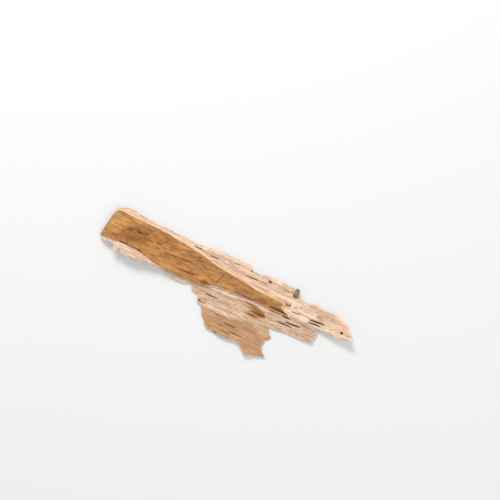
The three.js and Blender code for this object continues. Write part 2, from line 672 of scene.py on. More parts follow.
        marked = pieces[-1] if self.marked_below else pieces[0]
        slits = self.painted(marked[0], marked[1])[Mark.SLIT_AND_SHADOW]
        carved = self.carve(marked[0], marked[1], slits)
        near = np.minimum.reduce(list(marked[3].values()))
        room = (0.2 + 0.5 * np.clip(near / 1.5, 0, 1)) * (self.foot - self.top)
        carved = np.clip(carved, -room, room)
        marked[2][:] += carved if self.marked_below else -carved

        along, across, height = (np.concatenate([p[i] for p in pieces]) for i in range(3))
        points = self.strip.to_metres(along, across, np.clip(height, 0, None))
        rim, side = np.concatenate(rims), np.concatenate(sides)
        shown = (rim == (1.0 if self.marked_below else 0.0)).astype(float)
        faces = self.faces(index, loop, len(layers))
        thing = new_object(self.name, points, faces)
        near = np.concatenate([np.minimum.reduce(list(p[3].values())) for p in pieces])
        paint(thing, "rim", rim)
        paint(thing, "underside", side)
        paint(thing, "edge", np.exp(-near / EDGE_BAND))
        paint(thing, "film", self.films(along, across))
        paint(thing, "furrow", self.furrows(along, across))
        paint(thing, "depth", self.top + (self.foot - self.top) * rim)
        for kind, shade in self.painted(along, across).items():
            paint(thing, kind.value, shade * shown)
        offset, half = self.slits(along, across)
        paint(thing, "slit_offset", offset)
        paint(thing, "slit_half", np.where(shown > 0, half, SHUT))
        return thing

    @staticmethod
    def faces(index: Array, loop: Array, layers: int) -> Array:
        """Corners of every face: the face's grid, the rim's rows and the underside's grid.

        Args:
            index: Vertex numbers of one grid.
            loop: The grid's border, anticlockwise seen from above.
            layers: Number of layers, the two grids among them.

        Returns:
            Four vertex numbers for each face.
        """
        grid = np.stack([index[:-1, :-1], index[:-1, 1:], index[1:, 1:], index[1:, :-1]], -1)
        grid = grid.reshape(-1, 4)
        size, around = index.size, len(loop)
        below = size + (layers - 2) * around
        rings = [loop]
        rings += [size + k * around + np.arange(around) for k in range(layers - 2)]
        rings += [below + loop]
        walls = [
            np.stack([np.roll(a, -1), a, b, np.roll(b, -1)], -1) for a, b in zip(rings, rings[1:])
        ]
        return np.concatenate([grid, *walls, below + grid[:, ::-1]])


def new_object(name: str, points: Array, faces: Array) -> bpy.types.Object:
    """A smooth-shaded mesh object in the scene, with sharp edges kept where it folds.

    Args:
        name: Its name.
        points: Vertex positions in metres, one row each.
        faces: Vertex numbers, one row for each face.

    Returns:
        The object.
    """
    mesh = bpy.data.meshes.new(name)
    mesh.from_pydata(points, [], faces.tolist())
    mesh.validate()
    mesh.shade_smooth()
    mesh.set_sharp_from_angle(angle=math.radians(SHARP_FOLD))
    thing = bpy.data.objects.new(name, mesh)
    bpy.context.scene.collection.objects.link(thing)
    return thing


def paint(thing: bpy.types.Object, name: str, values: Array) -> None:
    """Writes one number for each vertex of a mesh into a named attribute."""
    attribute = thing.data.attributes.new(name, "FLOAT", "POINT")
    attribute.data.foreach_set("value", values.astype(np.float32))


@dataclass
class InnerFace(Leaf):
    """The smooth orange inner face, narrowing from the smooth end to a feathered tongue."""

    name: str = "inner_face"
    top: float = 0.0
    foot: float = 1.05
    lower: Edge = Edge(
        ((0, -11.5), (10, -10.3), (20, -9.8), (30, -8.7), (40, -9), (50, -10.9), (60, -13.4),
         (75, -14.9), (92, -14.6), (107, -14.1), (115, -12.2), (120, -10.3), (125, -8.2),
         (130, -7.3), (135, -6.9), (150, -6.2),
         (170, -5.3), (206, -4.6)),
        tear=0.25, reach=0.2, feather=0.8, curl=0.4, curl_width=4, torn=True,
    )
    upper: Edge = Edge(
        ((0, 19.9), (25, 19.3), (58, 18.8), (70, 17.7), (85, 15.9), (105, 14.2), (112, 12.2),
         (122, 10.1), (140, 8.4), (152, 7.3), (162, 5.6), (176, 5), (206, 5.2)),
        tear=0.2, reach=2.3, ledge=0.35, feather=0.9,
    )
    left: Edge = Edge(
        ((0, 0), (0.35, 1.3), (0.7, 3), (0.88, 4.6), (0.96, 6.6), (1, 9.6)),
        tear=0.12, reach=0.15, feather=1.2,
    )
    right: Edge = Edge(
        ((0, 206), (0.12, 203), (0.3, 198.5), (0.5, 195.5), (0.75, 196.5), (1, 195)),
        tear=0.7, reach=2.2, ledge=0.7, feather=5, torn=True,
    )
    laminae: int = 3
    relief: float = 0.55
    grain: tuple[float, float] = (6.5, 2.1)
    film: float = 0.02
    seed: int = 11
    strokes: tuple[Stroke, ...] = scattered(12, 60, (8, 190, -13, 17), (2, 7), (0.1, 0.3), drawn({
        Mark.SLIT_AND_SHADOW: (
            # The first slit here, just inside the lower edge, is a dark line of painted shadow under the
            # lifted edge.
            (21, -8.7, 45, -8.8, 1.3), (55, 5.3, 60, 5.8, 0.95, 0.75),
            (46, 5.1, 53, 5.2, 0.95, 0.4), (66, 0.3, 80, 1.1, 0.95, 0.5),
            (82, 1.4, 95, 2.3, 0.95, 0.75), (84, -8.9, 105, -7.6, 0.95, 0.75),
            (98, 10.4, 103.5, 10.5, 0.95, 0.7), (99.5, 7.8, 107, 8, 0.95, 0.6),
            (103, -4.8, 106.5, -4.7, 0.95, 0.5), (80, 10.6, 92, 10.9, 0.95, 0.3),
            (125.3, -6, 129.4, 5.6, 0.8, 0.6), (157, 5.1, 169.5, 5.6, 0.95, 0.5),
            (146, -5.6, 170, -5.1, 1, 0.85), (185, -3.4, 203, -3.3, 1.3, 0.9),
            (27, 6, 28.2, 5.6, 0.95, 0.8), (37, 7.6, 38.5, 7.4, 1.3, 0.8),
            (44.5, 14, 45.4, 13.6, 0.95, 0.7), (49.3, -9.9, 50.2, -9.7, 0.95, 0.8),
            (24.5, 5.6, 28, 6.5, 0.95, 0.6), (34.5, 7.8, 36.5, 7.1, 1.5, 0.9),
            (37.5, 2, 38.6, 1.6, 0.95, 0.6), (111, -10.6, 119, -10.3, 0.95, 0.55),
        ),
        Mark.OCHRE: (
            (9, -2, 16, 12, 9, 0.75), (30, -6, 46, -7, 3, 0.7), (62, -12, 96, -12, 2.2, 0.8),
            (106, -6, 112, -6.5, 3, 0.8), (150, 4.5, 182, 3.5, 2.5, 0.45),
        ),
        Mark.RUST: (
            (38, 15, 76, 9, 9, 1.05), (40, 3, 60, 1, 6, 0.6), (70, -4, 96, 2, 7, 0.6),
            (88, 9, 140, 4, 9.5, 1.05), (134, 1, 194, 0, 7.5, 0.75), (176, 4, 205, 1, 3.5, 0.6),
            (7, -6.5, 22, -6, 3.6, 0.6), (22, 9, 34, 9, 4.5, 0.5),
        ),
        Mark.PALE: (
            # The first pale stroke, along the upper edge, is the rim's pale tone and a painted
            # highlight.
            (84, 17, 112, 12.5, 1, 0.5), (195, 1.4, 206, 1.2, 2.6, 0.9),
            (192, 4.6, 206, 4.8, 1.4, 0.5),
        ),
        Mark.GREY: (
            # Grey across the smooth end and its top corner, and a grey line along the upper edge.
            (-0.6, -16, 3.4, 17, 4.2, 1.1), (2.6, 9, 15, 20, 4, 0.9), (20, 19, 62, 18.2, 0.7, 0.7),
            (62, 18.2, 94, 15, 0.6, 0.4),
        ),
        Mark.BRUISE_AND_SHADOW: (
            (12, -7.5, 30, 1, 5.6, 0.95), (20, -1, 44, 4, 8.4, 1.1), (24, 5, 43, 9, 6, 1.25),
            (32, -4, 44, -1, 4, 0.6), (56, -4.5, 68, -3, 4.6, 0.5),
            (168, -3.2, 179, -2.5, 2.4, 1.5), (184, -3.7, 207, -3.6, 1.7, 1.4),
        ),
        Mark.GOLD: (
            (110.5, -10.2, 119.5, -9.6, 1.7, 1.3), (111.6, -8.6, 117.6, -7.8, 1.8, 0.75),
            (118, -9.2, 124, -9.4, 0.9, 0.4), (150, -5.6, 168, -4.7, 1, 0.5),
        ),
    }))


@dataclass
class PaperLeaf(Leaf):
    """The pink papery leaf under the inner face, torn at both sides, with the ragged tip."""

    name: str = "papery_leaf"
    top: float = 1.1
    foot: float = 2.3
    lower: Edge = Edge(
        ((0, -13.2), (5, -14.6), (8, -14.6), (10.4, -13.2), (12.6, -13), (15, -14.4), (16.8, -15),
         (17.6, -18.6), (19, -19.7), (20.2, -18.9), (21.4, -19.5), (22.6, -18.4), (23.3, -16.6),
         (24.2, -15.2), (24.8, -16.6), (25.4, -18), (26.4, -17.5), (28, -18.7), (31, -18.3),
         (34, -18.8), (37, -18.4), (41, -18.7), (44, -18.2), (45.2, -17), (47, -17.3),
         (49, -16.4), (51.6, -16.5), (53.4, -15.1), (55, -14.9), (56.2, -16.5), (59, -16.3),
         (61, -15.4), (64, -15.4), (75, -15.4), (92, -15), (107, -14.6), (115, -12.6), (125, -10),
         (135, -8.4), (150, -6.8), (170, -5.9), (206, -5.2), (225, -4), (238, -3.2), (253, -3.4),
         (262, -2.7), (273.5, -0.5)),
        tear=0.4, reach=0.2, ledge=0.25, feather=2.5, curl=0.3, torn=True, nick=1.6,
    )
    upper: Edge = Edge(
        ((0, 21.2), (8, 21.9), (15, 23.3), (23, 24.2), (25, 23.2), (34, 22.2), (45, 21.3),
         (60, 20.8), (75, 20.4), (90, 20.1), (99, 21.2), (106, 23), (120, 24.3), (130, 24.7),
         (149, 24.4), (152, 23.6), (153.6, 20.2), (156, 19.9), (158, 21), (160, 19.7), (164, 19.9),
         (166, 22.3), (180, 22.7), (197, 22.3), (203, 21.4), (206, 15.2), (212, 14.2),
         (218, 14.4), (222, 15), (224, 16.7), (229, 16.4), (235, 15.3), (241, 15.4), (246, 16.4),
         (250, 16.6), (253, 14.8), (254.6, 13.4), (255.6, 14), (256.6, 12.6), (260, 13.5),
         (262.4, 12.9), (263.6, 13.5), (264.2, 11.2), (265.4, 10.4), (265.3, 8.4), (266.8, 7.6),
         (267.2, 5.8), (269, 5.2), (269.8, 3.4), (271.6, 2.9), (273.5, 0.7)),
        tear=0.4, reach=0.5, ledge=0.4, feather=2.2, curl=0.5, curl_width=7, torn=True, nick=1.2,
    )
    left: Edge = Edge(
        ((0, 0.4), (0.35, 2.2), (0.7, 3.7), (0.88, 5.2), (0.96, 7), (1, 9)),
        tear=0.1, reach=0.1,
    )
    right: Edge = Edge(((0, 273.2), (1, 273.5)), tear=0.1, reach=0.0, feather=4, curl=0.8, curl_width=14)
    laminae: int = 4
    relief: float = 0.5
    seed: int = 23
    strokes: tuple[Stroke, ...] = scattered(24, 70, (8, 250, -3, 22), (2, 8), (0.1, 0.3), drawn({
        Mark.SLIT_AND_SHADOW: (
            (109, 16.9, 118, 17.1, 0.9, 0.7), (90, 18.6, 99, 18.9, 0.95, 0.55),
            (149.5, 14.1, 163, 14.9, 1.1, 0.75), (166, 15, 172, 15.2, 0.95, 0.35),
            # The second slit on this line and the first on the next are dark blots of painted shadow in
            # the notch of the upper edge.
            (172.8, 18.4, 175.8, 18.9, 1.9), (152.4, 20.9, 154.8, 20.3, 1.8),
            (158.8, 20.9, 161.4, 20.2, 2), (201.4, 5.8, 203, 6.3, 1.5), (196, 6, 200, 6, 0.95, 0.6),
            (197, 4.3, 200, 4.4, 0.95, 0.5), (207, 6.3, 210, 6.8, 0.95, 0.3),
            (206, 1.1, 216, 1.9, 0.95, 0.8), (225.8, 1.6, 241.3, 3.1, 1.5),
            # The second slit on this line is painted shade inside a small hole in the leaf.
            (225.6, -1.1, 238.6, -0.1, 1.3), (259.4, 3.3, 261.6, 3.6, 2.4),
        ),
        Mark.OCHRE: (
            (224, 15.5, 244, 12.5, 2.6, 0.45), (240, 11.5, 242.5, 13.8, 1.4, 0.8),
            (207, -4.5, 236, -3.5, 1.8, 0.4), (130, 22, 152, 19.5, 2.4, 0.35),
        ),
        Mark.RUST: ((208, -3.6, 240, -1.8, 1.2, 0.3),),
        Mark.PALE: (
            # The second pale band, under the inner face's lower edge, is painted light that lightens the
            # shade there.
            (30, 21, 160, 10, 3.2, 0.35), (114, -13, 170, -6.6, 2.2, 0.7),
            (198, 0.4, 226, -0.4, 2.6, 1.1), (204, 6, 235, 5.5, 5.6, 1.1),
            (226, -1, 270, 1, 3.4, 0.8), (128, 23.5, 148, 23, 2, 0.5),
        ),
        Mark.GREY: ((231.5, 8.4, 238, 6, 2.8, 1.1),),
        Mark.BRUISE_AND_SHADOW: (
            (200, 5.8, 203, 6, 1.4, 0.7), (198, 18, 200, 22, 1.6, 0.5),
            # These two dark blots at the notch of the upper edge are painted shadow.
            (152.6, 21.4, 154.4, 20.2, 1, 1.2), (158.6, 20.6, 161, 20.2, 0.9, 1.3),
            (153, 17.5, 167, 18.6, 1.3, 0.4),
        ),
    }))


@dataclass
class LowerLeaf(Leaf):
    """The pink leaf under the papery one, with its long slits and the gold stain."""

    name: str = "lower_leaf"
    top: float = 2.35
    foot: float = 3.3
    lower: Edge = Edge(
        ((0, -9), (50, -11.5), (62, -13.6), (74, -16.2), (80, -18.6), (88, -19.2), (98, -18.6),
         (101.5, -16.3), (104, -17), (105.6, -21.4), (107.5, -22.8), (112.5, -23.1),
         (114.6, -24.4), (115.8, -27.6), (124, -28.4), (140, -29.6), (152, -29.2), (166, -26.6),
         (178, -23.2), (193, -23.1), (200, -22.6), (205, -21.4), (212, -20.5), (225, -20),
         (235, -19.4), (238, -18.8)),
        tear=0.22, reach=0.15, ledge=0.15, feather=5,
    )
    upper: Edge = Edge(
        ((0, 20.6), (8, 22.3), (20, 24.6), (34, 22.8), (60, 21.7), (90, 21.2), (110, 23.6),
         (150, 23.8), (154, 20), (165, 20), (170, 22), (195, 21), (206, 14), (238, 9)),
        tear=0.3, reach=0.4, ledge=0.35, feather=2,
    )
    left: Edge = Edge(((0, 1.5), (0.6, 4.2), (0.9, 6), (1, 9.5)), tear=0.1, reach=0.1)
    right: Edge = Edge(
        ((0, 233.6), (0.03, 236.2), (0.08, 237.3), (0.4, 237.5), (0.6, 237), (1, 236)),
        tear=0.14, reach=0.15, ledge=0.12, feather=2.5, curl=0.5, curl_width=7,
    )
    laminae: int = 3
    relief: float = 0.45
    seed: int = 37
    strokes: tuple[Stroke, ...] = scattered(38, 50, (116, 230, -26, -6), (2, 8), (0.1, 0.3), drawn({
        Mark.SLIT_AND_SHADOW: (
            (121, -19.6, 133, -19, 1.1, 0.9), (197, -13.9, 213.4, -13.3, 1.15),
            (204.8, -11, 221, -9.8, 1.35), (199, -6.8, 208, -6.5, 1.3),
            (184, -6.7, 198, -6.5, 0.9, 0.7), (160, -9.8, 174, -9.7, 0.9, 0.7),
            (167, -19.4, 177, -19.5, 1.1, 0.8), (171, -13.2, 176, -13.2, 0.6, 0.3),
            (176.6, -15.6, 182.6, -15.7, 0.9, 0.6), (118, -13.4, 122, -13.3, 0.95, 0.25),
        ),
        Mark.OCHRE: (
            (162.5, -10.7, 178, -10.5, 1.1, 0.9), (166, -12.2, 182.6, -12.3, 1.3, 1.1),
            (163.5, -13.8, 183.4, -13.9, 1.2, 0.95), (167, -15.4, 184.4, -15.5, 1.5, 1.2),
            (165, -17, 182.6, -17, 1.2), (167, -18.8, 180, -19, 1.3, 0.9),
            (208, -4.5, 230, -6.5, 3.2, 0.3), (128, -9.5, 150, -8, 2.4, 0.4),
        ),
        Mark.RUST: ((164, -20, 186, -24, 3.4, 0.4),),
        Mark.PALE: (
            # The second pale band, under the upper leaves' lower edges, is painted light that lightens
            # the shade there.
            (118, -22.5, 160, -26, 2.4, 0.5), (116, -12.5, 166, -7.6, 2.2, 0.6),
            (164.5, -26.3, 166.5, -26.6, 1.2, 0.9), (182, -8, 205, -8.6, 1.5, 0.5),
        ),
        Mark.BRUISE_AND_SHADOW: ((172, -18, 178, -22, 2.6, 0.25), (229, -13.2, 231, -13.6, 1.6, 0.35)),
        Mark.GOLD: (
            (170, -12.2, 182.2, -12.3, 0.9, 0.9), (175, -13.9, 183.2, -14, 0.9, 0.85),
            (169.5, -15.5, 184.4, -15.6, 1.4, 1.2), (172, -17.2, 182, -17.2, 0.9, 0.8),
        ),
    }))


@dataclass
class StreakedLeaf(Leaf):
    """The thin cream leaf that shows as streaks between the lower leaf and the flap."""

    name: str = "streaked_leaf"
    top: float = 2.95
    foot: float = 3.45
    lower: Edge = Edge(
        ((114, -31), (118, -31.6), (128, -32.2), (147, -32), (158, -30.6), (170, -27.4), (184, -24)),
        tear=0.25, reach=0.1, ledge=0.1, feather=3,
    )
    upper: Edge = Edge(
        ((114, -23.5), (124, -25), (140, -26.3), (152, -26), (166, -23.3), (184, -19)), tear=0.1,
    )
    left: Edge = Edge(((0, 117.4), (0.1, 116.3), (1, 115.8)), tear=0.3, curl=0.4, curl_width=7)
    right: Edge = Edge(((0, 184), (1, 184)), tear=0.1)
    laminae: int = 2
    relief: float = 0.4
    seed: int = 41
    strokes: tuple[Stroke, ...] = drawn({
        Mark.SLIT_AND_SHADOW: ((116, -28.4, 125, -28.2, 1.7),),
        Mark.PALE: ((120, -30.5, 158, -29.3, 2.4, 0.9),),
        Mark.GREY: ((120, -29, 150, -31, 0.7, 0.2),),
    })


@dataclass
class TornFlap(Leaf):
    """The broad tan flap that has come away on the torn side."""

    name: str = "torn_flap"
    top: float = 3.4
    foot: float = 4.2
    lower: Edge = Edge(
        ((110, -49), (130, -46.6), (136, -50.2), (145, -51.2), (150, -52.4), (157, -52),
         (165, -50.3), (171, -50), (173.5, -51.4), (176.5, -54), (180, -57.4), (182.5, -58.7),
         (185.5, -57.6), (190, -55.6), (195, -53.9), (202, -51.8)),
        tear=0.22, reach=0.15, ledge=0.15, feather=2.5, curl=0.9, curl_width=9,
    )
    upper: Edge = Edge(((110, 0), (202, -2)), tear=0.1)
    left: Edge = Edge(
        ((0, 134), (0.05, 130.5), (0.12, 126.4), (0.2, 125), (0.27, 123), (0.33, 119.8), (0.4, 118),
         (0.5, 118), (1, 118)),
        tear=0.3, curl=0.5, curl_width=6, feather=2.5, torn=True,
    )
    right: Edge = Edge(
        ((0, 201.3), (0.05, 199.5), (0.14, 195.5), (0.22, 194.2), (0.33, 194.4), (0.37, 198),
         (0.42, 199), (0.5, 195), (0.56, 192.5), (1, 191)),
        tear=0.35, reach=0.2, feather=2.5, curl=0.6, curl_width=6, torn=True,
    )
    laminae: int = 2
    relief: float = 0.35
    grain: tuple[float, float] = (9.0, 2.4)
    film: float = 0.05
    seed: int = 53
    strokes: tuple[Stroke, ...] = scattered(54, 24, (126, 190, -50, -32), (2, 7), (0.1, 0.25), drawn({
        Mark.SLIT_AND_SHADOW: (
            (150, -38.1, 162.5, -38, 1.1, 0.85), (157, -44.1, 172.5, -43.5, 0.9, 0.75),
            (150, -46.6, 161, -46.3, 1, 0.45), (143.5, -50.3, 147.5, -50.6, 1, 0.7),
        ),
        Mark.OCHRE: ((132, -43, 147, -46, 3.4, 0.9), (148, -45, 170, -46, 2, 0.9)),
        Mark.RUST: (
            (169, -26, 177, -33.5, 2, 0.5), (176, -34, 180, -42, 2.4, 0.45),
            (185, -36, 192, -51, 2.2, 0.4), (196, -45, 190, -56, 2.6, 0.4),
            (124, -33.5, 140, -34, 1.2, 0.5), (174, -44, 196, -47, 6, 0.35),
        ),
        Mark.PALE: ((178, -25, 197, -30, 6, 0.9), (124, -34.5, 140, -35, 2, 0.35)),
    }))


@dataclass
class OuterSkin(Leaf):
    """The chalky white outer skin, which shows underneath and at the rim."""

    name: str = "outer_skin"
    top: float = 4.25
    foot: float = 4.8
    lower: Edge = Edge(
        ((0, -9.6), (20, -11), (40, -13.5), (55, -12.6), (80, -14.6), (110, -17), (150, -19),
         (190, -16), (215, -12), (240, -4), (262, -1)),
        tear=0.6, reach=0.1, ledge=0.2, feather=2.5, curl=0.2, torn=True,
    )
    upper: Edge = Edge(
        ((0, 20.6), (8, 22.6), (20, 25), (34, 23.4), (60, 22.4), (90, 22), (110, 24.2),
         (150, 24.4), (154, 20.3), (165, 20.2), (170, 22.4), (195, 22), (206, 14.4), (235, 13.6),
         (262, 10)),
        tear=0.4, reach=0.1, ledge=0.2, feather=2, curl=0.2, torn=True,
    )
    left: Edge = Edge(((0, 2.6), (0.6, 5), (0.9, 7), (1, 10)), tear=0.3)
    right: Edge = Edge(((0, 250), (0.5, 259), (1, 255)), tear=0.8, curl=0.6, curl_width=10)
    laminae: int = 2
    relief: float = 0.2
    film: float = 0.04
    marked_below: bool = True
    seed: int = 67
    strokes: tuple[Stroke, ...] = scattered(68, 150, (6, 235, -15, 22), (5, 24), (0.6, 1.0))


@dataclass
class Flake(Leaf):
    """A small weathered flake that stands out of the edge beside the tip."""

    name: str = "weathered_flake"
    top: float = -0.5
    foot: float = 1.7
    lower: Edge = Edge(((200.2, 15.6), (203, 15.1), (205.7, 15.4)), tear=0.15, torn=True)
    upper: Edge = Edge(
        ((200.2, 20.5), (201.2, 23.4), (203.2, 24.6), (204.8, 23.4), (205.7, 20)),
        tear=0.15, curl=0.5, curl_width=5, feather=2,
    )
    left: Edge = Edge(((0, 199.9), (0.4, 200.6), (1, 200.9)), tear=0.15, torn=True)
    right: Edge = Edge(((0, 206), (0.5, 205.6), (1, 205)), tear=0.15, torn=True)
    laminae: int = 4
    relief: float = 0.5
    grain: tuple[float, float] = (1.6, 3.4)
    film: float = 0.0
    step: float = 0.22
    row_step: float = 0.25
    seed: int = 71
    strokes: tuple[Stroke, ...] = drawn({
        Mark.PALE: ((203, 18, 203.6, 22.5, 1, 0.45),),
        Mark.BRUISE_AND_SHADOW: ((200.5, 16.2, 205.5, 16, 1, 0.9),),
    })


@dataclass
class TornFibres:
    """Loose fibres that stand out of the torn edges: slivers with four sides and a fine tip."""

    strip: Strip
    places: tuple[tuple[Leaf, str, float, float, int], ...]
    name: str = "torn_fibres"
    length: tuple[float, float] = (1.4, 4.6)
    width: tuple[float, float] = (0.18, 0.42)
    rings: int = 7
    seed: int = 83

    def roots(self, random: np.random.Generator) -> Array:
        """Where the fibres grow from: a row of along, across, height and outward side for each.

        Args:
            random: The source of the scatter.

        Returns:
            The rows.
        """
        rows = []
        for leaf, name, start, end, count in self.places:
            edge = getattr(leaf, name)
            outward = 1.0 if name == "upper" else -1.0
            along = random.uniform(start, end, count)
            out = edge.out(along + (UPPER_SHIFT if name == "upper" else 0), 0.0, leaf.noise)
            across = edge.bare(along) + outward * (out - 0.7)
            height = self.strip.rise(along, across) + self.strip.thickness + edge.curl * 0.7
            height = height - random.uniform(leaf.top + 0.1, leaf.foot, count)
            rows.append(np.stack([along, across, height, np.full(count, outward)], -1))
        return np.concatenate(rows)

    def build(self) -> bpy.types.Object:
        """Makes all fibres as one mesh.

        A fibre runs out from its root at a slant, mostly along the grain. Its path is the slant
        plus a bend that grows with the square of the way out, and so is its lift. Its section is
        a flat diamond whose width falls to a tenth at the tip.

        Returns:
            The new object.
        """
        random = np.random.default_rng(self.seed)
        roots = self.roots(random)
        count = len(roots)
        way = np.linspace(0, 1, self.rings)[None, :]
        length = random.uniform(*self.length, (count, 1))
        slant = random.uniform(0.1, 0.6, (count, 1)) * roots[:, 3:]
        ahead = np.where(random.uniform(size=(count, 1)) < 0.7, 1.0, -1.0)
        bend = random.uniform(-0.5, 0.5, (count, 1))
        along = roots[:, :1] + ahead * length * way * np.cos(slant)
        across = roots[:, 1:2] + length * (way * np.sin(slant) + 0.35 * bend * way**2)
        height = roots[:, 2:3] + length * random.uniform(-0.12, 0.3, (count, 1)) * way**2
        half = random.uniform(*self.width, (count, 1)) * (1 - 0.9 * way**1.4) / 2

        ring = [(0, 1, 0), (0, 0, 0.45), (0, -1, 0), (0, 0, -0.45)]
        corners = [self.strip.to_metres(along, across + a * half, np.clip(height + h * half, 0, None))
                   for _, a, h in ring]
        points = np.stack([c.reshape(count, self.rings, 3) for c in corners], 2)
        number = np.arange(points.size // 3).reshape(count, self.rings, 4)
        turned = np.roll(number, -1, 2)
        sides = np.stack([number[:, :-1], turned[:, :-1], turned[:, 1:], number[:, 1:]], -1)
        sides = np.where((ahead > 0)[:, :, None, None], sides[..., ::-1], sides)
        caps = np.stack([number[:, 0], number[:, -1, ::-1]], 1)
        caps = np.where((ahead > 0)[:, :, None], caps, caps[..., ::-1])
        faces = np.concatenate([sides.reshape(-1, 4), caps.reshape(-1, 4)])
        made = new_object(self.name, points.reshape(-1, 3), faces)
        paint(made, "slit_half", np.full(points.size // 3, SHUT))
        return made


# ---- shader maths -------------------------------------------------------------------------------


class Value:
    """A shader socket that takes part in arithmetic; each operation adds a Math node."""

    def __init__(self, graph: "Graph", socket: bpy.types.NodeSocket) -> None:
        """Wraps an output socket of a graph."""
        self.graph, self.socket = graph, socket

    def math(self, operation: str, *inputs: "Value | float") -> "Value":
        """A Math node on the given inputs."""
        return self.graph.add("ShaderNodeMath", {"operation": operation}, dict(enumerate(inputs)))

    def __add__(self, other: "Value | float") -> "Value":
        """self + other."""
        return self.math("ADD", self, other)

    def __radd__(self, other: float) -> "Value":
        """other + self."""
        return self.math("ADD", other, self)

    def __sub__(self, other: "Value | float") -> "Value":
        """self - other."""
        return self.math("SUBTRACT", self, other)

    def __rsub__(self, other: float) -> "Value":
        """other - self."""
        return self.math("SUBTRACT", other, self)

    def __mul__(self, other: "Value | float") -> "Value":
        """self * other."""
        return self.math("MULTIPLY", self, other)

    def __rmul__(self, other: float) -> "Value":
        """other * self."""
        return self.math("MULTIPLY", other, self)

    def size(self) -> "Value":
        """Its distance from nought."""
        return self.math("ABSOLUTE", self)

    def floor(self) -> "Value":
        """The whole number at or under it."""
        return self.math("FLOOR", self)

    def part(self) -> "Value":
        """What is left of it over the whole number under it."""
        return self.math("FRACT", self)

    def eased(self, low: float, high: float) -> "Value":
        """Nought up to low, one from high, and a smooth step between; low may be the larger."""
        return self.graph.add(
            "ShaderNodeMapRange",
            {"interpolation_type": "SMOOTHSTEP"},
            {"Value": self, "From Min": low, "From Max": high},
        )


BEND = 0.007  # metres that the grain sways across the strip
BUMP_HEIGHT = 0.0004  # metres
SPECULAR = 0.06  # dry bark hardly shines


